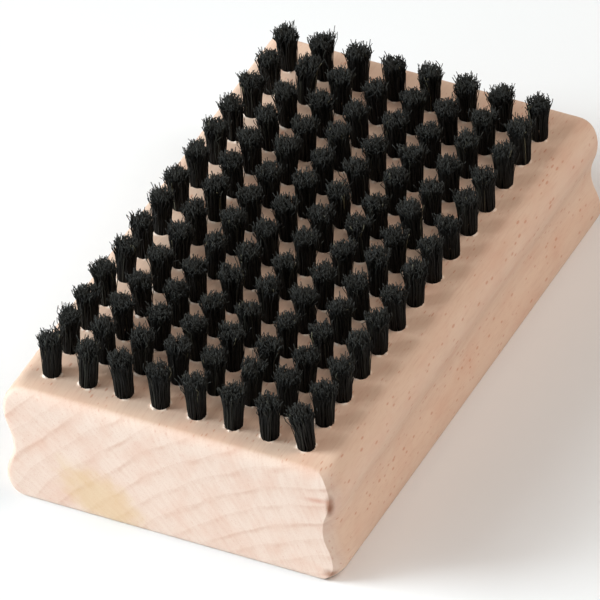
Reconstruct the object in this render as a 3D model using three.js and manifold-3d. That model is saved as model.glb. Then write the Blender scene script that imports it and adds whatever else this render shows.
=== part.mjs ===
// Block brush: one solid beech block, drilled with a field of blind holes, each hole holding
// one tuft of stiff black fibre. It has no handle and no moving part: the hand holds it by the
// coves along its two sides.
//
// Frame, in millimetres: the origin is the middle of the block's flat underside, +X runs across
// the block, +Y along it, and +Z up through the bristles.

import * as THREE from "three";
import { mergeVertices } from "three/addons/utils/BufferGeometryUtils.js";
import Module from "manifold-3d";

// Block. Half-widths are measured from the middle, heights up from the underside.
const LENGTH = 121;
const HEIGHT = 27.3;
const FOOT_HALF = 32.4; // flat of the underside
const LOWER_BULGE_HALF = 36.8;
const LOWER_BULGE_Z = 4.6;
const COVE_HALF = 35.0; // deepest line of the finger cove
const COVE_Z = 12.8;
const UPPER_BULGE_HALF = 36.8;
const UPPER_BULGE_Z = 21.6;
const DECK_HALF = 33.0; // flat of the drilled face
const CORNER_RADIUS = 1.2; // three of the upright edges
const EASED_RADIUS = 6; // the -Y, +X upright edge is sanded back along the side
const EASED_KINK = THREE.MathUtils.degToRad(45); // and meets the end in a crease
const NEAR_TOP_INSET = 2.2; // roundover of the top edge of the -Y end
const NEAR_TOP_DROP = 4;
const FAR_TOP_INSET = 1.4; // and of the +Y end
const FAR_TOP_DROP = 3;
const END_FOOT_RADIUS = 1.1; // softened bottom edge of each end

// Drilled field
const TUFTS_ACROSS = 8;
const ROWS_ALONG = 14;
const PITCH = 8; // hole to hole, both ways
const FIELD_X = -0.3; // the field sits slightly off the block's middle
const FIELD_Y = -1.1;
const FIELD_TURN = THREE.MathUtils.degToRad(-0.7); // and slightly askew on it
const HOLE_RADIUS = 1.8;
const HOLE_DEPTH = 12;

// Tufts
const TRIM_HEIGHT = 9.7; // crown of a tuft above the deck
const SHOULDER_HEIGHT = 8.8; // rim of the domed tip
const ROOT_RADIUS = 1.4;
const NECK_RADIUS = 1.45;
const NECK_HEIGHT = 0.3;
const TIP_RADIUS = 2.35;
const CLEARANCE = 0.3; // between fibre and wood
const BAND_WIDTH = 0.8; // thin band that ties the tufts of a row into one body
const BAND_HEIGHT = 0.6;

// How finely curves are divided
const CURVE_STEPS = 5;
const CORNER_STEPS = 3;
const HOLE_SIDES = 10;
const TUFT_SIDES = 8;

const BEECH = new THREE.MeshStandardMaterial({ color: 0xe0c1a6, roughness: 0.62, metalness: 0 });
const BLACK_FIBRE = new THREE.MeshStandardMaterial({ color: 0x1c1c1a, roughness: 0.55, metalness: 0 });

const wasm = await Module();
wasm.setup();

// A solid for booleans: a closed mesh with its shared corners merged.
function solid(geometry) {
  const bare = geometry.clone();
  bare.deleteAttribute("normal");
  bare.deleteAttribute("uv");
  const merged = mergeVertices(bare, 1e-4);
  const mesh = new wasm.Mesh({
    numProp: 3,
    vertProperties: new Float32Array(merged.attributes.position.array),
    triVerts: new Uint32Array(merged.index.array),
  });
  return new wasm.Manifold(mesh);
}

function geometryOf(body) {
  const { vertProperties, triVerts } = body.getMesh();
  const geometry = new THREE.BufferGeometry();
  geometry.setAttribute("position", new THREE.Float32BufferAttribute(vertProperties, 3));
  geometry.setIndex(new THREE.BufferAttribute(new Uint32Array(triVerts), 1));
  geometry.computeVertexNormals();
  return geometry;
}

function meshOf(name, body, material) {
  const mesh = new THREE.Mesh(geometryOf(body), material);
  mesh.name = name;
  return mesh;
}

// Side profile, from the edge of the flat underside up to the edge of the deck, as points
// (half-width, height): a rounded foot, two S-curves that leave a cove between two bulges, and
// a broad roundover into the deck.
function sideProfile() {
  const path = new THREE.Path();
  const footRun = LOWER_BULGE_HALF - FOOT_HALF;
  path.moveTo(FOOT_HALF, 0);
  path.absellipse(FOOT_HALF, LOWER_BULGE_Z, footRun, LOWER_BULGE_Z, -Math.PI / 2, 0, false);
  sCurve(path, LOWER_BULGE_HALF, LOWER_BULGE_Z, COVE_HALF, COVE_Z);
  sCurve(path, COVE_HALF, COVE_Z, UPPER_BULGE_HALF, UPPER_BULGE_Z);
  const deckRun = UPPER_BULGE_HALF - DECK_HALF;
  const deckRise = HEIGHT - UPPER_BULGE_Z;
  path.absellipse(DECK_HALF, UPPER_BULGE_Z, deckRun, deckRise, 0, Math.PI / 2, false);
  return path.getPoints(CURVE_STEPS);
}

// A Bezier curve that is upright at both of its ends.
function sCurve(path, fromHalf, fromZ, toHalf, toZ) {
  const pull = 0.45 * (toZ - fromZ);
  path.bezierCurveTo(fromHalf, fromZ + pull, toHalf, toZ - pull, toHalf, toZ);
}

// How far one end is drawn in at a height: nothing over most of it, a quarter ellipse at the
// top edge and a quarter circle at the bottom edge.
function endInset(z, topInset, topDrop) {
  const intoTop = Math.max(0, z - (HEIGHT - topDrop)) / topDrop;
  const intoFoot = Math.max(0, END_FOOT_RADIUS - z) / END_FOOT_RADIUS;
  const atTop = topInset * (1 - Math.sqrt(1 - intoTop ** 2));
  return atTop + END_FOOT_RADIUS * (1 - Math.sqrt(1 - intoFoot ** 2));
}

// Plan outline of the block at its widest and longest: three rounded corners, and one eased
// corner, an arc that runs into the side smoothly and meets the flat end in a crease.
function planOutline() {
  const x = UPPER_BULGE_HALF - CORNER_RADIUS;
  const y = LENGTH / 2 - CORNER_RADIUS;
  const easedX = UPPER_BULGE_HALF - EASED_RADIUS;
  const easedY = LENGTH / 2 - EASED_RADIUS * Math.cos(EASED_KINK);
  const shape = new THREE.Shape();
  shape.absarc(x, y, CORNER_RADIUS, 0, Math.PI / 2, false);
  shape.absarc(-x, y, CORNER_RADIUS, Math.PI / 2, Math.PI, false);
  shape.absarc(-x, -y, CORNER_RADIUS, Math.PI, 1.5 * Math.PI, false);
  shape.absarc(easedX, -easedY, EASED_RADIUS, 1.5 * Math.PI + EASED_KINK, 2 * Math.PI, false);
  return shape;
}

// The block before drilling: the plan outline raised in one step for each point of the side
// profile, then every layer drawn in to the half-width and the two ends at its height.
function blankBlock() {
  const layers = sideProfile();
  const steps = layers.length - 1;
  const geometry = new THREE.ExtrudeGeometry(planOutline(), {
    depth: steps,
    steps,
    bevelEnabled: false,
    curveSegments: CORNER_STEPS,
  });
  const position = geometry.attributes.position;
  for (let i = 0; i < position.count; i += 1) {
    const layer = layers[Math.round(position.getZ(i))];
    const inX = UPPER_BULGE_HALF - layer.x;
    const near = position.getY(i) < 0;
    const topInset = near ? NEAR_TOP_INSET : FAR_TOP_INSET;
    const inY = endInset(layer.y, topInset, near ? NEAR_TOP_DROP : FAR_TOP_DROP);
    const x = position.getX(i) - Math.sign(position.getX(i)) * inX;
    const y = position.getY(i) + (near ? inY : -inY);
    position.setXYZ(i, x, y, layer.y);
  }
  return solid(geometry);
}

// Centre of one hole on the deck; rows count along +Y and columns along +X.
function holeCentre(row, column) {
  const x = (column - (TUFTS_ACROSS - 1) / 2) * PITCH;
  const y = (row - (ROWS_ALONG - 1) / 2) * PITCH;
  const turned = new THREE.Vector2(x, y).rotateAround(new THREE.Vector2(), FIELD_TURN);
  return turned.add(new THREE.Vector2(FIELD_X, FIELD_Y));
}

// A cutter for one blind hole; it stands a little proud of the deck so that it cuts cleanly.
function holeCutter(centre) {
  const proud = 1;
  const geometry = new THREE.CylinderGeometry(HOLE_RADIUS, HOLE_RADIUS, HOLE_DEPTH + proud, HOLE_SIDES);
  geometry.rotateX(Math.PI / 2);
  geometry.translate(centre.x, centre.y, HEIGHT + (proud - HOLE_DEPTH) / 2);
  return solid(geometry);
}

// One tuft: parallel in its hole, flaring above the deck to a shallow domed tip.
function tuft(centre) {
  const profile = [
    new THREE.Vector2(0, CLEARANCE - HOLE_DEPTH),
    new THREE.Vector2(ROOT_RADIUS, CLEARANCE - HOLE_DEPTH),
    new THREE.Vector2(NECK_RADIUS, NECK_HEIGHT),
    new THREE.Vector2(TIP_RADIUS, SHOULDER_HEIGHT),
    new THREE.Vector2(0, TRIM_HEIGHT),
  ];
  const geometry = new THREE.LatheGeometry(profile, TUFT_SIDES);
  geometry.rotateX(Math.PI / 2);
  geometry.translate(centre.x, centre.y, HEIGHT);
  return solid(geometry);
}

// The thin band just clear of the deck that runs through the necks of a row's tufts.
function rowBand(row) {
  const first = holeCentre(row, 0);
  const last = holeCentre(row, TUFTS_ACROSS - 1);
  const geometry = new THREE.BoxGeometry(first.distanceTo(last), BAND_WIDTH, BAND_HEIGHT);
  geometry.rotateZ(FIELD_TURN);
  const middle = first.clone().lerp(last, 0.5);
  geometry.translate(middle.x, middle.y, HEIGHT + CLEARANCE + BAND_HEIGHT / 2);
  return solid(geometry);
}

function drilledBlock() {
  let block = blankBlock();
  for (let row = 0; row < ROWS_ALONG; row += 1) {
    for (let column = 0; column < TUFTS_ACROSS; column += 1) {
      block = block.subtract(holeCutter(holeCentre(row, column)));
    }
  }
  return meshOf("block", block, BEECH);
}

function bristleRow(row) {
  let body = rowBand(row);
  for (let column = 0; column < TUFTS_ACROSS; column += 1) {
    body = body.add(tuft(holeCentre(row, column)));
  }
  const number = String(row + 1).padStart(2, "0");
  return meshOf(`bristle_row_${number}`, body, BLACK_FIBRE);
}

const brush = new THREE.Group();
brush.add(drilledBlock());
for (let row = 0; row < ROWS_ALONG; row += 1) {
  brush.add(bristleRow(row));
}

export default brush;
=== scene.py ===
"""A beech block brush: a drilled wooden block, its tufts of stiff black fibre, and the flat wire
anchors that hold them. Everything is in metres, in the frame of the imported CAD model: +X across
the block, +Y along it, +Z up through the bristles, origin in the middle of the underside."""

import math

import bmesh
import bpy
import numpy as np
from bpy.props import FloatProperty, FloatVectorProperty, IntProperty, PointerProperty
from mathutils import Matrix, Vector


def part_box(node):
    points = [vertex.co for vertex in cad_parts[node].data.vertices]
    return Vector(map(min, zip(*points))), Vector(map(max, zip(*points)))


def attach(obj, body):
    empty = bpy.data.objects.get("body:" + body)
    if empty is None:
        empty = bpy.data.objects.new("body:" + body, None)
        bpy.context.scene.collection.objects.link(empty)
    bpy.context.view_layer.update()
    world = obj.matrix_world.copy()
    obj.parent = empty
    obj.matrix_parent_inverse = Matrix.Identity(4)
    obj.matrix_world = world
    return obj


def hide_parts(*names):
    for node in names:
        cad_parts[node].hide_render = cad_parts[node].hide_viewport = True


bl_info = {
    "name": "Block Brush",
    "version": (1, 0, 0),
    "blender": (4, 5, 0),
    "location": "3D View > Sidebar > Block Brush",
    "description": "Builds a beech block brush with black bristle tufts around its CAD frame",
    "category": "Add Mesh",
}

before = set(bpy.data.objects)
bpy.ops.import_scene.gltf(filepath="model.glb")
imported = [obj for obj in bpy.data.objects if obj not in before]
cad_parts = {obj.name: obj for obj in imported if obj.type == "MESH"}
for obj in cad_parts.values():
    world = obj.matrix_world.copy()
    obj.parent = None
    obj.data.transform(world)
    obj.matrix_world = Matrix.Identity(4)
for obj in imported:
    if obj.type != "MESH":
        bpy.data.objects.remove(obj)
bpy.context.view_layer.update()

MM = 0.001
BLOCK_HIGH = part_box("block")[1]
HALF_WIDTH = BLOCK_HIGH.x
HALF_LENGTH = BLOCK_HIGH.y
HEIGHT = BLOCK_HIGH.z
ROW_NODES = sorted(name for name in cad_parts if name.startswith("bristle_row_"))
TUFTS_ACROSS = 8
SEED = 20260
WELD_DISTANCE = 0.002 * MM
TURN_SPREAD = math.radians(7)  # spread of the anchors' turns, and of the folds over them


def linear(hex_colour):
    """An sRGB colour such as "#e6c9b0", as linear red, green, blue and alpha."""
    srgb = np.array([int(hex_colour[i:i + 2], 16) for i in (1, 3, 5)]) / 255
    rgb = np.where(srgb <= 0.04045, srgb / 12.92, ((srgb + 0.055) / 1.055) ** 2.4)
    return (*rgb.tolist(), 1.0)


def size_property(label, description, default):
    """A length that a user can change, in metres."""
    return FloatProperty(
        name=label, description=description, default=default, min=0.0, unit="LENGTH", precision=5
    )


def colour_property(label, description, hex_colour):
    """A colour that a user can change, from its sRGB hex value."""
    return FloatVectorProperty(
        name=label,
        description=description,
        default=linear(hex_colour),
        size=4,
        min=0.0,
        max=1.0,
        subtype="COLOR",
    )


class BlockSettings(bpy.types.PropertyGroup):
    foot_half: size_property("Foot half-width", "Flat of the underside, from the middle", 32.4 * MM)
    lower_z: size_property("Lower bulge height", "Height of the widest line below the cove", 4.6 * MM)
    cove_half: size_property("Cove half-width", "Deepest line of the finger cove", 35.0 * MM)
    cove_z: size_property("Cove height", "Height of the finger cove", 12.8 * MM)
    upper_z: size_property("Upper bulge height", "Height of the widest line above the cove", 21.6 * MM)
    deck_half: size_property("Deck half-width", "Flat of the drilled face, from the middle", 33.0 * MM)
    corner_radius: size_property("Corner radius", "Arc of three of the upright edges", 1.2 * MM)
    eased_radius: size_property("Eased radius", "Arc of the sanded -Y, +X upright edge", 6.0 * MM)
    eased_kink: FloatProperty(
        name="Eased kink",
        description="Angle at which that arc leaves the end face, in a crease",
        default=math.radians(45),
        subtype="ANGLE",
    )
    near_inset: size_property("Near roundover inset", "How far the top of the -Y end leans in", 2.2 * MM)
    near_drop: size_property("Near roundover drop", "How far down that roundover reaches", 4.0 * MM)
    far_inset: size_property("Far roundover inset", "How far the top of the +Y end leans in", 1.4 * MM)
    far_drop: size_property("Far roundover drop", "How far down that roundover reaches", 3.0 * MM)
    end_foot: size_property("End foot radius", "Softened bottom edge of each end", 1.1 * MM)
    hole_radius: size_property("Hole radius", "Radius of the drilled holes", 1.7 * MM)
    hole_depth: size_property("Hole depth", "Depth of the drilled holes", 12.0 * MM)
    burr_height: size_property("Burr height", "Torn fibres raised round each hole", 0.34 * MM)
    ring_width: size_property("Growth ring width", "Radial distance from ring to ring", 4.2 * MM)
    early_wood: colour_property("Early wood", "The pale wood between the ring lines", "#e5c6af")
    end_wood: colour_property("End grain", "The paler wood where the grain is cut across", "#e9d2c3")
    late_wood: colour_property("Late wood", "The fine pinkish line that ends each ring", "#c99a82")
    blush: colour_property("Blush", "Pinker patches in the wood", "#d9a58c")
    fleck: colour_property("Ray fleck", "Short dashes where the wood's rays are cut", "#c0683f")
    torn_wood: colour_property("Torn wood", "Bright broken fibres round the holes", "#f6e6d6")
    stain: colour_property("Stain", "Ochre tint low on one end", "#d9b87f")
    scorch: colour_property("Scorch", "Brown mark where a cutter rubbed", "#8f5430")


class TuftSettings(bpy.types.PropertyGroup):
    fibre_count: IntProperty(
        name="Fibres", description="Fibres in one tuft", default=340, min=10, max=500
    )
    fibre_width: size_property("Fibre width", "Thickness of one fibre", 0.185 * MM)
    root_radius: size_property("Root radius", "Radius of a tuft in its hole", 1.52 * MM)
    tip_radius: size_property("Tip radius", "Radius of a tuft at its cut ends", 2.42 * MM)
    trim_height: size_property("Trim height", "Crown of a tuft above the deck", 9.7 * MM)
    dome_drop: size_property("Dome drop", "How much shorter the rim is than the crown", 0.7 * MM)
    black: colour_property("Black fibre", "Most of the fibres", "#131413")
    grey: colour_property("Grey fibre", "A few faded fibres", "#34352e")
    fair: colour_property("Fair fibre", "The odd undyed fibre", "#7c7860")
    cut_end: colour_property("Cut end", "The scuffed ends of the fibres", "#3d3e3b")


class AnchorSettings(bpy.types.PropertyGroup):
    reach: size_property("Reach", "Length of an anchor; it bites into both walls", 3.9 * MM)
    depth: size_property("Depth", "Height of the flattened wire", 2.0 * MM)
    thickness: size_property("Thickness", "Thickness of the flattened wire", 0.36 * MM)
    skew: FloatProperty(
        name="Skew",
        description="Turn of the anchors from the block's length",
        default=math.radians(28),
        subtype="ANGLE",
    )
    steel: colour_property("Steel", "Bright drawn wire", "#a9abad")
    draw_line: colour_property("Draw lines", "Darker lines drawn along the wire", "#7f8286")


class StageSettings(bpy.types.PropertyGroup):
    floor: colour_property("Floor", "Pale matt floor", "#f3f5f7")
    key_power: FloatProperty(
        name="Key light", description="Small and front left", default=2.2, unit="POWER"
    )
    broad_power: FloatProperty(
        name="Broad light", description="Large and soft, below the key light", default=5.6, unit="POWER"
    )
    left_power: FloatProperty(
        name="Left light", description="Low, from further round to the left", default=23.5, unit="POWER"
    )
    side_power: FloatProperty(
        name="Side light", description="Soft, from high on the right", default=10.2, unit="POWER"
    )
    ambient: FloatProperty(name="Ambient", description="Even light from all round", default=0.21)
    lamp_tint: colour_property("Lamp colour", "Cool tint of the lights on the left", "#f1fbff")
    room_tint: colour_property("Room colour", "Warm tint of the even light and the side light", "#fff4ea")


# ---- Small tools ----


def mesh_object(name, points, face_sets, smooth=True):
    """A mesh object at the origin, from an (n, 3) array and several (m, 3) or (m, 4) face arrays."""
    mesh = bpy.data.meshes.new(name)
    sizes = np.concatenate([np.full(len(faces), faces.shape[1]) for faces in face_sets])
    corners = np.concatenate([faces.ravel() for faces in face_sets])
    mesh.vertices.add(len(points))
    mesh.vertices.foreach_set("co", points.astype(np.float32).ravel())
    mesh.loops.add(len(corners))
    mesh.loops.foreach_set("vertex_index", corners.astype(np.int32))
    mesh.polygons.add(len(sizes))
    starts = np.concatenate([[0], np.cumsum(sizes)[:-1]])
    mesh.polygons.foreach_set("loop_start", starts.astype(np.int32))
    mesh.update(calc_edges=True)
    mesh.polygons.foreach_set("use_smooth", np.full(len(sizes), smooth))
    piece = bpy.data.objects.new(name, mesh)
    bpy.context.scene.collection.objects.link(piece)
    return piece


def paint(piece, name, values):
    """Stores one number per point, for a material to read."""
    attribute = piece.data.attributes.new(name, "FLOAT", "POINT")
    attribute.data.foreach_set("value", values.astype(np.float32).ravel())


def tube_faces(tubes, rings, sides):
    """Quads round many tubes whose points are ordered tube, ring, side; they face outwards when
    the sides run anticlockwise seen from the last ring."""
    t, r, s = np.meshgrid(np.arange(tubes), np.arange(rings - 1), np.arange(sides), indexing="ij")
    here = (t * rings + r) * sides
    nxt = (s + 1) % sides
    return np.stack([here + s, here + nxt, here + sides + nxt, here + sides + s], -1).reshape(-1, 4)


def ease(x, low, high):
    """A smooth step from 0 at low to 1 at high."""
    t = np.clip((x - low) / (high - low), 0, 1)
    return t * t * (3 - 2 * t)


def add(tree, kind, inputs, output=0, **settings):
    """Adds a node with its settings, gives each input a value or a link, and returns one output."""
    node = tree.nodes.new(kind)
    for name, value in settings.items():
        setattr(node, name, value)
    for socket, value in inputs.items():
        if isinstance(value, bpy.types.NodeSocket):
            tree.links.new(value, node.inputs[socket])
        else:
            node.inputs[socket].default_value = value
    return node.outputs[output] if len(node.outputs) else node


def new_material(name):
    """A material with an empty node tree."""
    material = bpy.data.materials.new(name)
    material.use_nodes = True
    material.node_tree.nodes.clear()
    return material, material.node_tree


def check_closed(piece):
    """Stops the script if any edge of a piece doesn't lie between exactly two faces."""
    mesh = piece.data
    edges = np.empty(len(mesh.loops), np.int32)
    mesh.loops.foreach_get("edge_index", edges)
    uses = np.bincount(edges, minlength=len(mesh.edges))
    if len(uses) == 0 or np.any(uses != 2):
        raise RuntimeError(f"{piece.name} isn't closed: {np.count_nonzero(uses != 2)} bad edges")


def finish_piece(piece, material, nodes=()):
    """Gives a piece its material, and ties it to the frame."""
    check_closed(piece)
    piece.data.materials.append(material)
    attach(piece, "root")
    if nodes:
        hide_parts(*nodes)


# ---- The drilled field, read from the frame ----


def row_centre(node):
    """Middle of a row's box, in x and y."""
    low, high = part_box(node)
    return np.array([(low.x + high.x) / 2, (low.y + high.y) / 2])


FIRST_ROW = row_centre(ROW_NODES[0])
LAST_ROW = row_centre(ROW_NODES[-1])
PITCH = float(np.linalg.norm(LAST_ROW - FIRST_ROW)) / (len(ROW_NODES) - 1)
ALONG = (LAST_ROW - FIRST_ROW) / np.linalg.norm(LAST_ROW - FIRST_ROW)
ACROSS = np.array([ALONG[1], -ALONG[0]])
FIELD_CENTRE = (FIRST_ROW + LAST_ROW) / 2
COLUMNS = (np.arange(TUFTS_ACROSS) - (TUFTS_ACROSS - 1) / 2) * PITCH
ROWS = (np.arange(len(ROW_NODES)) - (len(ROW_NODES) - 1) / 2) * PITCH


def from_field(u, v):
    """Field coordinates, u across and v along, to x and y."""
    return FIELD_CENTRE + u[..., None] * ACROSS + v[..., None] * ALONG


# ---- Block ----

CELL_STEPS = 6  # edges along one side of a hole's square cell
CORNER_STEPS = 8  # edges round the arc of an upright edge
PROFILE_POINTS = 12  # along each quarter ellipse of the side profile
CURVE_STEPS = 14  # along each S-curve of the side profile
CURVE_PULL = 0.45  # reach of an S-curve's handles, as a share of its height
LIP = 0.4 * MM  # flat ring just inside the edges of the deck and of the underside
CELL_MARGIN = 3.0 * MM  # wood kept beyond the outermost hole centres, inside the cells
CELL_SHARES = (0.0, 0.45, 0.8)  # rings of a cell, from its square edge in towards the burr
BURR_OUT = 0.5 * MM  # width of the burr round a hole
LOBES = np.arange(2, 11)  # waves round a ragged rim
RAGGED_OUT = 0.09 * MM  # how far the rim wanders in or out, for a raggedness of 1
RAGGED_MOST = 1.5  # limit of the raggedness, and of the burr as a share of the burr height
BURR_DIP = 0.35 * MM  # depth at which the torn rim is back on the wall of the hole
THROAT_DEPTH = 1.2 * MM  # depth below which the wall of the hole is round
CREASE = math.radians(28)  # a turn between two faces that is sharper than this shows as an edge

# The burr's rings, inwards: distance outside the hole in mm, height as a share of the burr's (or
# of the dip, where it is negative), and how torn the wood is.
BURR_RINGS = (
    (0.5, 0.0, 0.1),
    (0.34, 0.35, 0.8),
    (0.14, 1.0, 1.0),
    (0.0, 0.7, 1.0),
    (0.0, -1.0, 0.8),
)


def side_profile(block):
    """Half-width and height from the foot to the deck: a quarter ellipse at the foot, two Bezier
    S-curves that are upright at both ends, and a quarter ellipse into the deck."""
    turn = np.linspace(0, np.pi / 2, PROFILE_POINTS)
    foot_x = block.foot_half + (HALF_WIDTH - block.foot_half) * np.sin(turn)
    foot_z = block.lower_z * (1 - np.cos(turn))
    lower_x, lower_z = s_curve(HALF_WIDTH, block.lower_z, block.cove_half, block.cove_z)
    upper_x, upper_z = s_curve(block.cove_half, block.cove_z, HALF_WIDTH, block.upper_z)
    deck_x = block.deck_half + (HALF_WIDTH - block.deck_half) * np.cos(turn)
    deck_z = block.upper_z + (HEIGHT - block.upper_z) * np.sin(turn)
    half = np.concatenate([foot_x, lower_x, upper_x, deck_x[1:]])
    height = np.concatenate([foot_z, lower_z, upper_z, deck_z[1:]])
    return half, height


def s_curve(from_x, from_z, to_x, to_z):
    """Half-width and height along a cubic Bezier curve that is upright at both ends, without its
    first point."""
    t = np.linspace(0, 1, CURVE_STEPS + 1)[1:]
    pull = CURVE_PULL * (to_z - from_z)
    start, first, second, last = from_z, from_z + pull, to_z - pull, to_z
    blend = 3 * t**2 - 2 * t**3
    z = (1 - t) ** 3 * start + 3 * (1 - t) ** 2 * t * first + 3 * (1 - t) * t**2 * second
    return from_x + (to_x - from_x) * blend, z + t**3 * last


def end_profile(block, z, top_inset, top_drop):
    """Half-length at each height: drawn in along a quarter ellipse at the top edge and a quarter
    circle at the foot."""
    into_top = np.clip((z - HEIGHT + top_drop) / top_drop, 0, 1)
    into_foot = np.clip((block.end_foot - z) / block.end_foot, 0, 1)
    inset = top_inset * (1 - np.sqrt(1 - into_top**2))
    return HALF_LENGTH - inset - block.end_foot * (1 - np.sqrt(1 - into_foot**2))


def corner_arc(radius, kink):
    """How far an upright edge is cut back from the sharp corner, from the end face round to the
    side: across the block, and along it. The arc leaves the end face at the kink angle."""
    turn = np.linspace(kink, np.pi / 2, CORNER_STEPS + 1)
    return radius * (1 - np.sin(turn)), radius * (math.cos(kink) - np.cos(turn))


def plan_ring(block):
    """The block's outline as four numbers per point, a, b, c and d, so that a layer of half-width
    w and half-length l has points x = a w + b, y = c l + d. It runs anticlockwise from the left
    end of the -Y face, with an arc at each corner."""
    cut_x, cut_y = corner_arc(block.corner_radius, 0)
    eased_x, eased_y = corner_arc(block.eased_radius, block.eased_kink)
    end = np.linspace(0, 1, TUFTS_ACROSS * CELL_STEPS + 1)
    side = np.linspace(0, 1, len(ROW_NODES) * CELL_STEPS + 1)
    arc, back, one = slice(1, -1), slice(-2, 0, -1), np.ones(CORNER_STEPS - 1)
    parts = (
        (2 * end - 1, cut_x[0] * (1 - end) - eased_x[0] * end, 0 * end - 1, 0 * end),
        (one, -eased_x[arc], -one, eased_y[arc]),
        (0 * side + 1, 0 * side, 2 * side - 1, eased_y[-1] * (1 - side) - cut_y[-1] * side),
        (one, -cut_x[back], one, -cut_y[back]),
        (1 - 2 * end, cut_x[0] * (2 * end - 1), 0 * end + 1, 0 * end),
        (-one, cut_x[arc], one, -cut_y[arc]),
        (0 * side - 1, 0 * side, 1 - 2 * side, cut_y[-1] * (2 * side - 1)),
        (-one, cut_x[back], -one, cut_y[back]),
    )
    return [np.concatenate(numbers) for numbers in zip(*parts)]


def field_ring():
    """The edge of the hole cells with as many points as the outline has: each corner point is
    repeated to meet all of the outline's corner arc."""
    u_edge, v_edge = cell_lines()
    repeat = CORNER_STEPS - 1
    u = np.concatenate([u_edge, np.full(repeat, u_edge[-1]), np.full(len(v_edge), u_edge[-1]),
                        np.full(repeat, u_edge[-1])])
    v = np.concatenate([np.full(len(u_edge) + repeat, v_edge[0]), v_edge,
                        np.full(repeat, v_edge[-1])])
    return from_field(np.concatenate([u, -u]), np.concatenate([v, -v]))


def cell_lines():
    """Where the cells' edge points lie, across and along the field."""
    u = (np.arange(TUFTS_ACROSS * CELL_STEPS + 1) / CELL_STEPS - TUFTS_ACROSS / 2) * PITCH
    v = (np.arange(len(ROW_NODES) * CELL_STEPS + 1) / CELL_STEPS - len(ROW_NODES) / 2) * PITCH
    u_limit = COLUMNS[-1] + CELL_MARGIN
    v_limit = ROWS[-1] + CELL_MARGIN
    return np.clip(u, -u_limit, u_limit), np.clip(v, -v_limit, v_limit)


def hole_cells(block, random):
    """Points and quads of all the hole cells, and how torn each point is. A cell is a polar grid
    that runs from its square edge in to the hole, over a ragged burr, and down the wall."""
    per_side = np.arange(CELL_STEPS) / CELL_STEPS - 0.5
    half = np.full(CELL_STEPS, 0.5)
    square_u = np.concatenate([per_side, half, -per_side, -half]) * PITCH
    square_v = np.concatenate([-half, per_side, half, -per_side]) * PITCH
    count = 4 * CELL_STEPS
    angle = np.arctan2(square_v, square_u)
    u0, v0 = (grid.ravel() for grid in np.meshgrid(COLUMNS, ROWS))
    u_limit, v_limit = COLUMNS[-1] + CELL_MARGIN, ROWS[-1] + CELL_MARGIN
    edge_u = np.clip(u0[:, None] + square_u, -u_limit, u_limit)
    edge_v = np.clip(v0[:, None] + square_v, -v_limit, v_limit)
    phase = random.uniform(0, 2 * np.pi, (len(u0), 1, len(LOBES)))
    weight = random.normal(0, 1, (len(u0), 1, len(LOBES))) / np.sqrt(2 * LOBES)
    ragged = (np.sin(LOBES * angle[None, :, None] + phase) * weight).sum(-1)
    # Where the rim is smooth its burr is low and hardly torn, and where it is ragged, high and torn.
    radius = block.hole_radius + RAGGED_OUT * np.clip(ragged, -RAGGED_MOST, RAGGED_MOST)
    burr = block.burr_height * np.clip(0.2 + 0.9 * ragged, 0, RAGGED_MOST)
    rings = []
    torn = []
    for share in CELL_SHARES:
        ring_u = edge_u + (u0[:, None] + (radius + BURR_OUT) * np.cos(angle) - edge_u) * share
        ring_v = edge_v + (v0[:, None] + (radius + BURR_OUT) * np.sin(angle) - edge_v) * share
        rings.append((ring_u, ring_v, np.full_like(ring_u, HEIGHT)))
        torn.append(np.zeros_like(ring_u))
    for out, rise, tear in BURR_RINGS:
        reach = radius + out * MM
        z = HEIGHT + (rise * burr if rise >= 0 else np.full_like(burr, rise * BURR_DIP))
        rings.append((u0[:, None] + reach * np.cos(angle), v0[:, None] + reach * np.sin(angle), z))
        torn.append(np.full_like(reach, tear) * np.clip(0.1 + 1.1 * ragged, 0, 1))
    smooth = np.full_like(radius, block.hole_radius)
    for z in (HEIGHT - THROAT_DEPTH, HEIGHT - block.hole_depth):
        wall_u = u0[:, None] + smooth * np.cos(angle)
        wall_v = v0[:, None] + smooth * np.sin(angle)
        rings.append((wall_u, wall_v, np.full_like(wall_u, z)))
        torn.append(np.zeros_like(wall_u))
    u, v, z = (np.stack(parts, 1) for parts in zip(*rings))
    points = np.concatenate([from_field(u, v), z[..., None]], -1).reshape(-1, 3)
    quads = tube_faces(len(u0), len(rings), count)
    floors = (np.arange(len(u0)) * len(rings) + len(rings) - 1)[:, None] * count + np.arange(count)
    return points, quads, floors, np.stack(torn, 1).ravel()


def build_block(block):
    """The outside is the plan ring raised through the side profile; a flat strip joins its top
    layer to the hole cells, and its bottom layer is closed by a flat face."""
    random = np.random.default_rng(SEED)
    a, b, c, d = plan_ring(block)
    half, z = side_profile(block)
    near = end_profile(block, z, block.near_inset, block.near_drop)
    far = end_profile(block, z, block.far_inset, block.far_drop)
    half, near, far = (np.concatenate([[n[0] - LIP], n, [n[-1] - LIP]]) for n in (half, near, far))
    z = np.concatenate([[0.0], z, [HEIGHT]])
    x = half[:, None] * a + b
    y = np.where(c < 0, near[:, None], far[:, None]) * c + d
    shell = np.stack([x, y, np.broadcast_to(z[:, None], x.shape)], -1)
    inner = field_ring()
    inner = np.concatenate([inner, np.full((len(inner), 1), HEIGHT)], 1)
    shell = np.concatenate([shell, inner[None]])
    layers, count = shell.shape[:2]
    cells, cell_quads, floors, torn = hole_cells(block, random)
    points = np.concatenate([shell.reshape(-1, 3), cells])
    faces = [tube_faces(1, layers, count), cell_quads + layers * count, floors + layers * count]
    foot = np.arange(count)[::-1][None]
    piece = mesh_object("block_wood", points, faces + [foot])
    paint(piece, "torn", np.concatenate([np.zeros(layers * count), torn]))
    weld(piece)
    piece.data.set_sharp_from_angle(angle=CREASE)
    return piece


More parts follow.
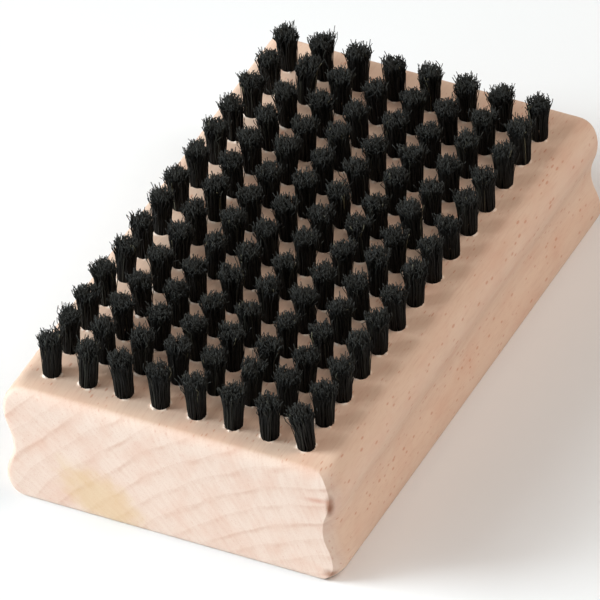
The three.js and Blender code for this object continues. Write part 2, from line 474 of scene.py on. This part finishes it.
def weld(piece):
    """Joins points that lie on each other, which also closes up the repeated corner points."""
    grid = bmesh.new()
    grid.from_mesh(piece.data)
    bmesh.ops.remove_doubles(grid, verts=grid.verts, dist=WELD_DISTANCE)
    grid.to_mesh(piece.data)
    grid.free()


# ---- Tufts ----

FIBRE_SIDES = 3
FIBRE_LEVELS = np.array([0.0, 0.15, 0.42, 0.7, 0.88, 1.0])  # shares of a fibre's height
ROOT_DEPTH = 11.2 * MM  # bottom of a fibre, below the deck
GOLDEN_ANGLE = math.pi * (3 - math.sqrt(5))  # turn from fibre to fibre, for an even disc
SHARE_MOST = 1.1  # furthest that a fibre stands out, as a share of the tuft's radius
LOCKS = 9  # small locks that the fibres of one tuft stick together in
LOCK_PULL = 0.3  # how far a fibre's top is drawn to its lock
FLARE_POWER = 0.8  # below 1, so a tuft widens soonest just above the deck
FOLD_GAP = 0.2 * MM  # that the anchor opens on each side of it
FOLD_CLOSES = (0.02, 0.3)  # heights between which that gap closes, as shares of the trim height
WAVE = 0.13 * MM  # swing of a fibre's wave, at the trim height
WAVE_TURNS = 9  # of that wave over the trim height, in radians
BEND_POWER = 2.2  # how the bend grows with height
FRIZZ_POWER = 4  # and the frizz, which shows near the tip only
STRAY_ABOVE = 0.93  # so 7 fibres in 100 stray
STRAY_OUT = (0.2, 1.4)  # mm that they lean out by
WIDTH_RANGE = (0.8, 1.15)  # of the fibres, as shares of the fibre width

# Standard deviations
PLACE_SPREAD = 0.05  # of a fibre's place, as a share of the tuft's radius
LOCK_SPREAD = 0.2 * MM  # of a lock's height
TOP_SPREAD = 0.33 * MM  # of a fibre's height
LEAN_SPREAD = 0.028  # of a tuft's slope
BEND_SPREAD = 0.2 * MM
FRIZZ_SPREAD = 0.42 * MM
CRIMP_SPREAD = 0.26 * MM


def tuft_fibres(tufts, node, skew, random):
    """Points of one row of tufts, with the tone of each point's fibre and each point's height as a
    share of the trim height. A fibre starts near the bottom of its hole, on one side of the
    anchor, and rises through the levels. Its distance from the tuft's axis grows with height from
    the root radius to the tip radius. To that are added the gap that the anchor leaves, a pull
    towards its lock, the lean of the tuft, its own bend, frizz and wave, and a crimp of its top
    two levels. A few fibres stray outwards."""
    count = tufts.fibre_count
    across = COLUMNS[:, None] * ACROSS
    centre = row_centre(node) + across
    order = np.arange(count)
    spin = random.uniform(0, 2 * np.pi, (TUFTS_ACROSS, 1))
    reach = np.sqrt((order + 0.5) / count)
    angle = order * GOLDEN_ANGLE + spin
    disc = reach[:, None] * np.stack([np.cos(angle), np.sin(angle)], -1)
    disc += random.normal(0, PLACE_SPREAD, disc.shape)
    share = np.clip(np.linalg.norm(disc, axis=-1), 0, SHARE_MOST)
    lock_turn = random.uniform(0, 2 * np.pi, (TUFTS_ACROSS, LOCKS))
    lock_reach = np.sqrt(random.uniform(0, 1, (TUFTS_ACROSS, LOCKS)))
    locks = lock_reach[..., None] * np.stack([np.cos(lock_turn), np.sin(lock_turn)], -1)
    distance = np.linalg.norm(disc[:, :, None] - locks[:, None], axis=-1)
    nearest = distance.argmin(-1)
    to_lock = np.take_along_axis(locks, nearest[..., None], 1) - disc
    lock_rise = random.normal(0, LOCK_SPREAD, (TUFTS_ACROSS, LOCKS))
    lock_rise = np.take_along_axis(lock_rise, nearest, 1)
    top = tufts.trim_height - tufts.dome_drop * share**2 + lock_rise
    top += random.normal(0, TOP_SPREAD, top.shape)
    turn = skew + random.normal(0, TURN_SPREAD, (TUFTS_ACROSS, 1))
    plane = np.stack([np.cos(turn), np.sin(turn)], -1)
    side = np.sign((disc * plane).sum(-1))
    lean = random.normal(0, LEAN_SPREAD, (TUFTS_ACROSS, 1, 2))
    bend = random.normal(0, BEND_SPREAD, disc.shape)
    frizz = random.normal(0, FRIZZ_SPREAD, disc.shape)
    crimp = random.normal(0, CRIMP_SPREAD, disc.shape[:2] + (2, 2))
    stray = random.uniform(0, 1, share.shape) > STRAY_ABOVE
    bend += np.where(stray, random.uniform(*STRAY_OUT, share.shape), 0)[..., None] * disc * MM
    wave_way = random.uniform(0, 2 * np.pi, share.shape)
    wave_phase = random.uniform(0, 2 * np.pi, share.shape)
    heights = top[..., None] * FIBRE_LEVELS
    heights = np.concatenate([np.full_like(heights[..., :1], -ROOT_DEPTH), heights], -1)
    rise = np.clip(heights / tufts.trim_height, 0, None)
    spread = tufts.root_radius + (tufts.tip_radius - tufts.root_radius) * rise**FLARE_POWER
    gap = FOLD_GAP * (1 - ease(rise, *FOLD_CLOSES))
    wave = WAVE * rise * np.sin(WAVE_TURNS * rise + wave_phase[..., None])
    path = disc[:, :, None] * spread[..., None]
    path += (side[..., None] * gap)[..., None] * plane[:, :, None]
    path += (LOCK_PULL * to_lock)[:, :, None] * (spread * rise**2)[..., None]
    path += lean[:, :, None] * (rise * tufts.trim_height)[..., None]
    path += bend[:, :, None] * (rise**BEND_POWER)[..., None]
    path += frizz[:, :, None] * (rise**FRIZZ_POWER)[..., None]
    path[:, :, -2:] += crimp
    path += wave[..., None] * np.stack([np.cos(wave_way), np.sin(wave_way)], -1)[:, :, None]
    path += centre[:, None, None]
    thick = tufts.fibre_width / 2 * random.uniform(*WIDTH_RANGE, share.shape)
    first = random.uniform(0, 2 * np.pi, share.shape)
    around = first[..., None] + np.arange(FIBRE_SIDES) * 2 * np.pi / FIBRE_SIDES
    ring = thick[..., None, None] * np.stack([np.cos(around), np.sin(around)], -1)
    points = path[..., None, :] + ring[:, :, None]
    z = np.broadcast_to(HEIGHT + heights[..., None, None], points.shape[:-1] + (1,))
    tone = random.uniform(0, 1, share.shape)
    per_fibre = points.shape[2] * FIBRE_SIDES
    tip = np.broadcast_to(rise[..., None], points.shape[:-1])
    return np.concatenate([points, z], -1).reshape(-1, 3), np.repeat(tone.ravel(), per_fibre), tip


def build_bristles(tufts, anchors, node, random):
    """One row of eight tufts: each fibre is a three-sided tube, closed at both ends."""
    points, tone, tip = tuft_fibres(tufts, node, anchors.skew, random)
    rings = len(FIBRE_LEVELS) + 1
    tubes = len(points) // (rings * FIBRE_SIDES)
    starts = np.arange(tubes)[:, None] * rings * FIBRE_SIDES
    bottoms = starts + np.arange(FIBRE_SIDES)[::-1]
    tops = starts + (rings - 1) * FIBRE_SIDES + np.arange(FIBRE_SIDES)
    faces = [tube_faces(tubes, rings, FIBRE_SIDES), bottoms, tops]
    piece = mesh_object(node.replace("bristle_row", "bristles_row"), points, faces)
    paint(piece, "tone", tone)
    paint(piece, "tip", tip)
    return piece


# ---- Anchors ----

ANCHOR_SIDES = 12
ANCHOR_RINGS = 5
ANCHOR_FLATNESS = 0.55  # under 1, so the flattened ring has straighter sides than an ellipse
ANCHOR_UP = 1.9 * MM  # middle of an anchor, above the bottom of its hole
ANCHOR_BOW = 0.15 * MM  # how far its middle bows down


def build_anchors(block, anchors, node, random):
    """One row of eight anchors. The surface of each is a flattened ring, of half the thickness by
    half the depth, carried along the anchor's length, which bows down a little at its middle."""
    turns = np.linspace(0, 2 * np.pi, ANCHOR_SIDES, endpoint=False)
    along = np.linspace(-0.5, 0.5, ANCHOR_RINGS)
    flat = np.sign(np.sin(turns)) * np.abs(np.sin(turns)) ** ANCHOR_FLATNESS
    side = np.cos(turns) * anchors.thickness / 2
    rise = flat * anchors.depth / 2
    turn = anchors.skew + random.normal(0, TURN_SPREAD, TUFTS_ACROSS)
    plane = np.stack([np.cos(turn), np.sin(turn)], -1)[:, None, None]
    run = np.stack([-np.sin(turn), np.cos(turn)], -1)[:, None, None]
    centre = (row_centre(node) + COLUMNS[:, None] * ACROSS)[:, None, None]
    flat_place = centre + plane * side[:, None] + run * (along * anchors.reach)[:, None, None]
    middle = HEIGHT - block.hole_depth + ANCHOR_UP
    z = middle + rise - ANCHOR_BOW * (1 - 4 * along[:, None] ** 2)
    z = np.broadcast_to(z[None, ..., None], flat_place.shape[:-1] + (1,))
    points = np.concatenate([flat_place, z], -1)
    starts = np.arange(TUFTS_ACROSS)[:, None] * points.shape[1] * points.shape[2]
    first = starts + np.arange(len(turns))
    last = first + (len(along) - 1) * len(turns)
    quads = tube_faces(TUFTS_ACROSS, len(along), len(turns))
    faces = [quads[:, ::-1], first, last[:, ::-1]]
    name = node.replace("bristle_row", "anchor_row")
    return mesh_object(name, points.reshape(-1, 3), faces)


# ---- Materials ----

HEART = (58 * MM, 0, -64 * MM)  # where the heart of the tree would be
MID_RADIUS = 97 * MM  # from the heart to the middle of the block; the rings' arcs are taken there


def beech(block):
    """Beech, planed on its faces and sawn across its ends: close, pale, faintly pink wood with
    pinker patches. Its rings are thin darker lines about the heart of the tree, and its rays are
    short reddish dashes along the grain. One end has an ochre stain and a few brown marks where a
    cutter rubbed. It has no varnish, so it has only a dull sheen."""
    material, tree = new_material("beech_planed")
    place = add(tree, "ShaderNodeTexCoord", {}, "Object")
    from_heart = add(tree, "ShaderNodeVectorMath", {0: place, 1: HEART}, operation="SUBTRACT")
    # A slow wander of the rings, over 36 mm across the block and 140 mm along it.
    drift = add(
        tree, "ShaderNodeVectorMath", {0: place, 1: (28, 7, 28)}, operation="MULTIPLY"
    )
    drift = add(tree, "ShaderNodeTexNoise", {"Vector": drift, "Scale": 1.0, "Detail": 2.0})
    axes = add(tree, "ShaderNodeSeparateXYZ", {0: from_heart}).node.outputs
    flat = add(tree, "ShaderNodeVectorMath", {0: from_heart, 1: (1, 0, 1)}, operation="MULTIPLY")
    radius = add(tree, "ShaderNodeVectorMath", {0: flat}, "Value", operation="LENGTH")
    turn = add(tree, "ShaderNodeMath", {0: axes[2], 1: axes[0]}, operation="ARCTAN2")
    arc = add(tree, "ShaderNodeMath", {0: turn, 1: MID_RADIUS}, operation="MULTIPLY")
    grain = add(tree, "ShaderNodeCombineXYZ", {0: arc, 1: axes[1], 2: radius})
    facing = add(tree, "ShaderNodeNewGeometry", {}, "Normal")
    facing = add(tree, "ShaderNodeSeparateXYZ", {0: facing}, "Y")
    facing = add(tree, "ShaderNodeMath", {0: facing}, operation="ABSOLUTE")
    end = add(tree, "ShaderNodeMapRange", {0: facing, 1: 0.15, 2: 0.95})

    # Rings: a soft darker line at the end of each, after a slow darkening. They show across the
    # ends, and hardly at all along the planed faces. Noise blurs and breaks them every few mm.
    blur = add(tree, "ShaderNodeVectorMath", {0: grain, 1: (160, 30, 260)}, operation="MULTIPLY")
    blur = add(tree, "ShaderNodeTexNoise", {"Vector": blur, "Scale": 1.0, "Detail": 2.0})
    shift = add(tree, "ShaderNodeMath", {0: drift, 1: 7 * MM, 2: radius}, operation="MULTIPLY_ADD")
    shift = add(tree, "ShaderNodeMath", {0: blur, 1: 1.1 * MM, 2: shift}, operation="MULTIPLY_ADD")
    ring = add(tree, "ShaderNodeMath", {0: shift, 1: block.ring_width}, operation="DIVIDE")
    ring = add(tree, "ShaderNodeMath", {0: ring}, operation="FRACT")
    slow = add(tree, "ShaderNodeMapRange", {0: ring, 1: 0.3, 2: 0.95, 3: 0.0, 4: 0.3})
    line = add(
        tree, "ShaderNodeMapRange", {0: ring, 1: 0.6, 2: 0.92}, interpolation_type="SMOOTHSTEP"
    )
    close = add(tree, "ShaderNodeMapRange", {0: ring, 1: 0.92, 2: 1.0, 3: 1.0, 4: 0.1})
    line = add(tree, "ShaderNodeMath", {0: line, 1: close}, operation="MULTIPLY")
    strong = add(tree, "ShaderNodeMapRange", {0: end, 3: 0.1, 4: 0.44})
    faint = add(tree, "ShaderNodeMapRange", {0: blur, 1: 0.36, 2: 0.68, 3: 0.05, 4: 1.0})
    line = add(tree, "ShaderNodeMath", {0: line, 1: faint}, operation="MULTIPLY")
    line = add(tree, "ShaderNodeMath", {0: line, 1: strong}, operation="MULTIPLY")
    slow = add(tree, "ShaderNodeMath", {0: slow, 1: strong}, operation="MULTIPLY")
    ring_tone = add(tree, "ShaderNodeMath", {0: slow, 1: line}, operation="MAXIMUM")

    # Streaks along the grain, 0.6 mm wide and 14 mm long, which run 5 mm towards the heart, and
    # pores 0.25 mm wide and 3 mm long.
    streak = add(
        tree, "ShaderNodeVectorMath", {0: grain, 1: (1 / 0.6, 1 / 14, 1 / 5)}, operation="MULTIPLY"
    )
    streak = add(tree, "ShaderNodeTexNoise", {"Vector": streak, "Scale": 1 / MM, "Detail": 3.0})
    pore = add(
        tree, "ShaderNodeVectorMath", {0: grain, 1: (4, 1 / 3, 4)}, operation="MULTIPLY"
    )
    pore = add(tree, "ShaderNodeTexNoise", {"Vector": pore, "Scale": 1 / MM, "Detail": 1.0})
    streak_tone = add(tree, "ShaderNodeMapRange", {0: streak, 1: 0.3, 2: 0.75, 3: -0.08, 4: 0.15})
    tone = add(tree, "ShaderNodeMath", {0: ring_tone, 1: streak_tone}, operation="ADD")
    pore_tone = add(tree, "ShaderNodeMapRange", {0: pore, 1: 0.52, 2: 0.75, 3: 0.0, 4: 0.25})
    tone = add(tree, "ShaderNodeMath", {0: tone, 1: pore_tone}, operation="ADD", use_clamp=True)
    early = add(
        tree,
        "ShaderNodeMix",
        {0: end, 6: block.early_wood[:], 7: block.end_wood[:]},
        2,
        data_type="RGBA",
    )
    wood = add(
        tree, "ShaderNodeMix", {0: tone, 6: early, 7: block.late_wood[:]}, 2, data_type="RGBA"
    )

    # Blush: soft pinker patches, 5 mm across and 9 mm along the grain.
    patch = add(
        tree, "ShaderNodeVectorMath", {0: grain, 1: (1 / 5, 1 / 9, 1 / 5)}, operation="MULTIPLY"
    )
    patch = add(tree, "ShaderNodeTexNoise", {"Vector": patch, "Scale": 1 / MM, "Detail": 3.0})
    patch = add(tree, "ShaderNodeMapRange", {0: patch, 1: 0.45, 2: 0.75, 3: 0.0, 4: 0.34})
    wood = add(
        tree, "ShaderNodeMix", {0: patch, 6: wood, 7: block.blush[:]}, 2, data_type="RGBA"
    )

    # Rays: dashes up to 0.4 mm wide and 1.6 mm long, and 0.8 mm deep towards the heart.
    cell = add(
        tree, "ShaderNodeVectorMath", {0: grain, 1: (1 / 0.6, 1 / 2.4, 1 / 1.2)}, operation="MULTIPLY"
    )
    ray = add(tree, "ShaderNodeTexVoronoi", {"Vector": cell, "Scale": 1 / MM}, "Distance")
    luck = add(tree, "ShaderNodeSeparateXYZ", {0: ray.node.outputs["Color"]}).node.outputs
    reach = add(tree, "ShaderNodeMapRange", {0: luck[0], 1: 0.2, 2: 1.0, 3: 0.04, 4: 0.34})
    inside = add(tree, "ShaderNodeMath", {0: reach, 1: ray}, operation="SUBTRACT")
    ray = add(tree, "ShaderNodeMapRange", {0: inside, 1: 0.0, 2: 0.12, 3: 0.0, 4: 0.46})
    across = add(tree, "ShaderNodeMapRange", {0: end, 3: 1.0, 4: 0.3})
    ray = add(tree, "ShaderNodeMath", {0: ray, 1: across}, operation="MULTIPLY")
    wood = add(
        tree, "ShaderNodeMix", {0: ray, 6: wood, 7: block.fleck[:]}, 2, data_type="RGBA"
    )

    # Marks: each is an ellipsoid with a ragged edge. A line gives its centre and half-sizes in mm,
    # its tilt about Y in degrees, the shares of its size between which it fades out, its strength
    # and its colour.
    rag = add(tree, "ShaderNodeTexNoise", {"Vector": place, "Scale": 0.35 / MM, "Detail": 4.0})
    marks = (
        ((-15.5, -61, 5.0), (13, 3, 7.5), 34, 0.4, 1.05, 0.5, block.stain),
        ((35.0, -60.2, 19.3), (1.0, 1.8, 4.3), 0, 0.0, 1.1, 0.95, block.scorch),
        ((32.2, -60.6, 20.7), (4.0, 1.4, 0.9), -8, -0.1, 1.2, 0.5, block.fleck),
        ((34.7, -60.3, 2.3), (1.8, 2.0, 1.6), 0, 0.0, 1.2, 0.85, block.scorch),
    )
    for centre, size, tilt, low, high, strength, colour in marks:
        spot = add(
            tree,
            "ShaderNodeMapping",
            {
                "Vector": place,
                "Location": Vector(centre) * MM,
                "Rotation": (0, math.radians(tilt), 0),
                "Scale": Vector(size) * MM,
            },
            vector_type="TEXTURE",
        )
        far = add(tree, "ShaderNodeVectorMath", {0: spot}, "Value", operation="LENGTH")
        far = add(tree, "ShaderNodeMath", {0: rag, 1: 0.8, 2: far}, operation="MULTIPLY_ADD")
        near = add(
            tree,
            "ShaderNodeMapRange",
            {0: far, 1: low + 0.4, 2: high + 0.4, 3: strength, 4: 0.0},
            interpolation_type="SMOOTHSTEP",
        )
        wood = add(tree, "ShaderNodeMix", {0: near, 6: wood, 7: colour[:]}, 2, data_type="RGBA")

    torn = add(tree, "ShaderNodeAttribute", {}, "Fac", attribute_name="torn")
    wood = add(
        tree, "ShaderNodeMix", {0: torn, 6: wood, 7: block.torn_wood[:]}, 2, data_type="RGBA"
    )

    relief = add(tree, "ShaderNodeMath", {0: pore, 1: 0.5, 2: streak}, operation="MULTIPLY_ADD")
    normal = add(
        tree, "ShaderNodeBump", {"Height": relief, "Strength": 0.35, "Distance": 0.1 * MM}
    )
    dull = add(tree, "ShaderNodeMapRange", {0: streak, 1: 0.3, 2: 0.7, 3: 0.5, 4: 0.66})
    shader = add(
        tree,
        "ShaderNodeBsdfPrincipled",
        {"Base Color": wood, "Roughness": dull, "Normal": normal, "IOR": 1.5},
    )
    add(tree, "ShaderNodeOutputMaterial", {0: shader})
    return material


def black_fibre(tufts):
    """Stiff dyed bristle, cut to length: nearly black, with a dry sheen along each fibre, a
    few faded or undyed fibres, and scuffed greyer ends."""
    material, tree = new_material("fibre_dyed_black")
    tone = add(tree, "ShaderNodeAttribute", {}, "Fac", attribute_name="tone")
    tip = add(tree, "ShaderNodeAttribute", {}, "Fac", attribute_name="tip")
    grey = add(tree, "ShaderNodeMapRange", {0: tone, 1: 0.8, 2: 0.985})
    colour = add(
        tree, "ShaderNodeMix", {0: grey, 6: tufts.black[:], 7: tufts.grey[:]}, 2, data_type="RGBA"
    )
    fair = add(tree, "ShaderNodeMapRange", {0: tone, 1: 0.994, 2: 0.997})
    colour = add(
        tree, "ShaderNodeMix", {0: fair, 6: colour, 7: tufts.fair[:]}, 2, data_type="RGBA"
    )
    end = add(tree, "ShaderNodeMapRange", {0: tip, 1: 0.86, 2: 1.0, 3: 0.0, 4: 0.5})
    colour = add(
        tree, "ShaderNodeMix", {0: end, 6: colour, 7: tufts.cut_end[:]}, 2, data_type="RGBA"
    )
    place = add(tree, "ShaderNodeTexCoord", {}, "Object")
    # Fine lengthwise ribs, 0.1 mm apart.
    ribs = add(tree, "ShaderNodeVectorMath", {0: place, 1: (10, 10, 0.4)}, operation="MULTIPLY")
    ribs = add(tree, "ShaderNodeTexNoise", {"Vector": ribs, "Scale": 1 / MM, "Detail": 1.0})
    rough = add(tree, "ShaderNodeMapRange", {0: ribs, 1: 0.3, 2: 0.7, 3: 0.5, 4: 0.75})
    shader = add(
        tree,
        "ShaderNodeBsdfPrincipled",
        {"Base Color": colour, "Roughness": rough, "IOR": 1.5, "Specular IOR Level": 0.25},
    )
    add(tree, "ShaderNodeOutputMaterial", {0: shader})
    return material


def drawn_steel(anchors):
    """Bright drawn steel wire, rolled flat: grey metal with fine lengthwise draw lines."""
    material, tree = new_material("steel_wire_rolled")
    place = add(tree, "ShaderNodeTexCoord", {}, "Object")
    lines = add(tree, "ShaderNodeVectorMath", {0: place, 1: (1, 1, 12)}, operation="MULTIPLY")
    lines = add(tree, "ShaderNodeTexNoise", {"Vector": lines, "Scale": 1 / MM, "Detail": 2.0})
    shade = add(
        tree,
        "ShaderNodeMix",
        {0: lines, 6: anchors.steel[:], 7: anchors.draw_line[:]},
        2,
        data_type="RGBA",
    )
    rough = add(tree, "ShaderNodeMapRange", {0: lines, 1: 0.3, 2: 0.7, 3: 0.25, 4: 0.42})
    shader = add(
        tree,
        "ShaderNodeBsdfPrincipled",
        {"Base Color": shade, "Metallic": 1.0, "Roughness": rough},
    )
    add(tree, "ShaderNodeOutputMaterial", {0: shader})
    return material


def painted_floor(stage):
    """Matt white paint: an even pale ground that takes a soft shadow."""
    material, tree = new_material("floor_matt_paint")
    place = add(tree, "ShaderNodeTexCoord", {}, "Object")
    cloud = add(tree, "ShaderNodeTexNoise", {"Vector": place, "Scale": 6.0, "Detail": 2.0})
    rough = add(tree, "ShaderNodeMapRange", {0: cloud, 1: 0.3, 2: 0.7, 3: 0.75, 4: 0.85})
    shader = add(
        tree, "ShaderNodeBsdfPrincipled", {"Base Color": stage.floor[:], "Roughness": rough}
    )
    add(tree, "ShaderNodeOutputMaterial", {0: shader})
    return material


# ---- Stage ----

FLOOR_HALF = 2.5
LIGHT_DISTANCE = 1.5

# Each light's name, its azimuth and elevation in degrees, the side of its square in metres, and
# the settings that hold its power and its tint.
LIGHTS = (
    ("key_light", -46, 41, 0.22, "key_power", "lamp_tint"),
    ("broad_light", -40, 25, 1.2, "broad_power", "lamp_tint"),
    ("left_light", -64, 29, 0.6, "left_power", "lamp_tint"),
    ("side_light", 108, 52, 0.7, "side_power", "room_tint"),
)

# Where the camera stands, in the frame: degrees and metres, with its lens and sensor in mm. It
# aims a little to the side of the middle of the drilled field, and below it.
CAMERA_AZIMUTH = 28.063
CAMERA_ELEVATION = 39.804
CAMERA_ROLL = -3.415
CAMERA_DISTANCE = 3.543
CAMERA_LENS = 1072.0
CAMERA_SENSOR = 36.0
CAMERA_CLIP = (0.5, 20.0)
CAMERA_ASIDE = 0.0005
CAMERA_BELOW = -0.00905


def build_floor(stage):
    """A flat square ground through z = 0, a few metres wide."""
    side = np.array([-FLOOR_HALF, FLOOR_HALF])
    x, y = np.meshgrid(side, side)
    points = np.stack([x.ravel(), y.ravel(), np.zeros(4)], -1)
    floor = mesh_object("floor", points, [np.array([[0, 1, 3, 2]])], smooth=False)
    floor.data.materials.append(painted_floor(stage))


def direction(azimuth, elevation):
    """The way to a place seen at these angles, in degrees: azimuth 0 lies at -Y and 90 at +X."""
    a, e = math.radians(azimuth), math.radians(elevation)
    return Vector((math.sin(a) * math.cos(e), -math.cos(a) * math.cos(e), math.sin(e)))


def camera_axes():
    """The camera's right, up and back directions, as the columns of a matrix."""
    turn = math.radians(CAMERA_AZIMUTH)
    back = direction(CAMERA_AZIMUTH, CAMERA_ELEVATION)
    right = Vector((math.cos(turn), math.sin(turn), 0))
    up = back.cross(right)
    level = Matrix((right, up, back)).transposed()
    return level @ Matrix.Rotation(math.radians(CAMERA_ROLL), 3, "Z")


def build_camera():
    """A long lens that looks down on the drilled field."""
    axes = camera_axes()
    centre = Vector((*FIELD_CENTRE, HEIGHT))
    aim = centre + axes @ Vector((CAMERA_ASIDE, CAMERA_BELOW, 0))
    data = bpy.data.cameras.new("camera")
    data.lens = CAMERA_LENS
    data.sensor_width = CAMERA_SENSOR
    data.clip_start, data.clip_end = CAMERA_CLIP
    camera = bpy.data.objects.new("camera", data)
    camera.matrix_world = Matrix.Translation(aim + axes.col[2] * CAMERA_DISTANCE) @ axes.to_4x4()
    bpy.context.scene.collection.objects.link(camera)
    bpy.context.scene.camera = camera


def build_light(name, azimuth, elevation, size, power, tint):
    """A square soft light that faces the origin, under the middle of the brush."""
    data = bpy.data.lights.new(name, "AREA")
    data.shape = "SQUARE"
    data.size = size
    data.energy = power
    data.color = tint[:3]
    light = bpy.data.objects.new(name, data)
    back = direction(azimuth, elevation)
    light.rotation_euler = (-back).to_track_quat("-Z", "Y").to_euler()
    light.location = back * LIGHT_DISTANCE
    bpy.context.scene.collection.objects.link(light)


def build_world(stage):
    """An even light from all round."""
    world = bpy.data.worlds.new("studio")
    world.use_nodes = True
    world.node_tree.nodes.clear()
    even = add(
        world.node_tree,
        "ShaderNodeBackground",
        {"Color": stage.room_tint[:], "Strength": stage.ambient},
    )
    add(world.node_tree, "ShaderNodeOutputWorld", {0: even})
    bpy.context.scene.world = world


# ---- The add-on ----


class BRUSH_OT_block(bpy.types.Operator):
    """Build the beech block with its drilled holes"""

    bl_idname = "brush.block"
    bl_label = "Beech Block"

    def execute(self, context):
        block = context.scene.brush_block
        piece = build_block(block)
        finish_piece(piece, beech(block), ["block"])
        return {"FINISHED"}


class BRUSH_OT_bristles(bpy.types.Operator):
    """Build the rows of black bristle tufts"""

    bl_idname = "brush.bristles"
    bl_label = "Bristle Tufts"

    def execute(self, context):
        if not ROW_NODES:
            raise RuntimeError("the frame has no bristle rows")
        tufts = context.scene.brush_tufts
        material = black_fibre(tufts)
        for number, node in enumerate(ROW_NODES):
            random = np.random.default_rng(SEED + 1 + number)
            piece = build_bristles(tufts, context.scene.brush_anchors, node, random)
            finish_piece(piece, material, [node])
        return {"FINISHED"}


class BRUSH_OT_anchors(bpy.types.Operator):
    """Build the flat wire anchors at the bottoms of the holes"""

    bl_idname = "brush.anchors"
    bl_label = "Wire Anchors"

    def execute(self, context):
        if not ROW_NODES:
            raise RuntimeError("the frame has no bristle rows")
        anchors = context.scene.brush_anchors
        material = drawn_steel(anchors)
        for number, node in enumerate(ROW_NODES):
            random = np.random.default_rng(SEED + 101 + number)
            piece = build_anchors(context.scene.brush_block, anchors, node, random)
            finish_piece(piece, material)
        return {"FINISHED"}


class BRUSH_OT_stage(bpy.types.Operator):
    """Build the floor, the lights and the camera"""

    bl_idname = "brush.stage"
    bl_label = "Stage"

    def execute(self, context):
        stage = context.scene.brush_stage
        build_floor(stage)
        build_world(stage)
        for name, azimuth, elevation, size, power, tint in LIGHTS:
            build_light(name, azimuth, elevation, size, getattr(stage, power), getattr(stage, tint))
        build_camera()
        context.scene.view_settings.view_transform = "Standard"
        return {"FINISHED"}


class VIEW3D_PT_brush(bpy.types.Panel):
    """Lists the settings and the steps that build the brush"""

    bl_label = "Block Brush"
    bl_space_type = "VIEW_3D"
    bl_region_type = "UI"
    bl_category = "Block Brush"

    def draw(self, context):
        for operator, settings in STEPS:
            box = self.layout.box()
            group = getattr(context.scene, settings)
            for name in group.bl_rna.properties.keys():
                if name not in ("rna_type", "name"):
                    box.prop(group, name)
            box.operator(operator.bl_idname)


STEPS = (
    (BRUSH_OT_block, "brush_block"),
    (BRUSH_OT_bristles, "brush_tufts"),
    (BRUSH_OT_anchors, "brush_anchors"),
    (BRUSH_OT_stage, "brush_stage"),
)
GROUPS = {
    "brush_block": BlockSettings,
    "brush_tufts": TuftSettings,
    "brush_anchors": AnchorSettings,
    "brush_stage": StageSettings,
}
CLASSES = (*GROUPS.values(), *(operator for operator, _ in STEPS), VIEW3D_PT_brush)


def register():
    for cls in CLASSES:
        bpy.utils.register_class(cls)
    for name, group in GROUPS.items():
        setattr(bpy.types.Scene, name, PointerProperty(type=group))


def unregister():
    for name in GROUPS:
        delattr(bpy.types.Scene, name)
    for cls in reversed(CLASSES):
        bpy.utils.unregister_class(cls)


def main():
    register()
    bpy.ops.brush.block()
    bpy.ops.brush.bristles()
    bpy.ops.brush.anchors()
    bpy.ops.brush.stage()


if __name__ == "__main__":
    main()
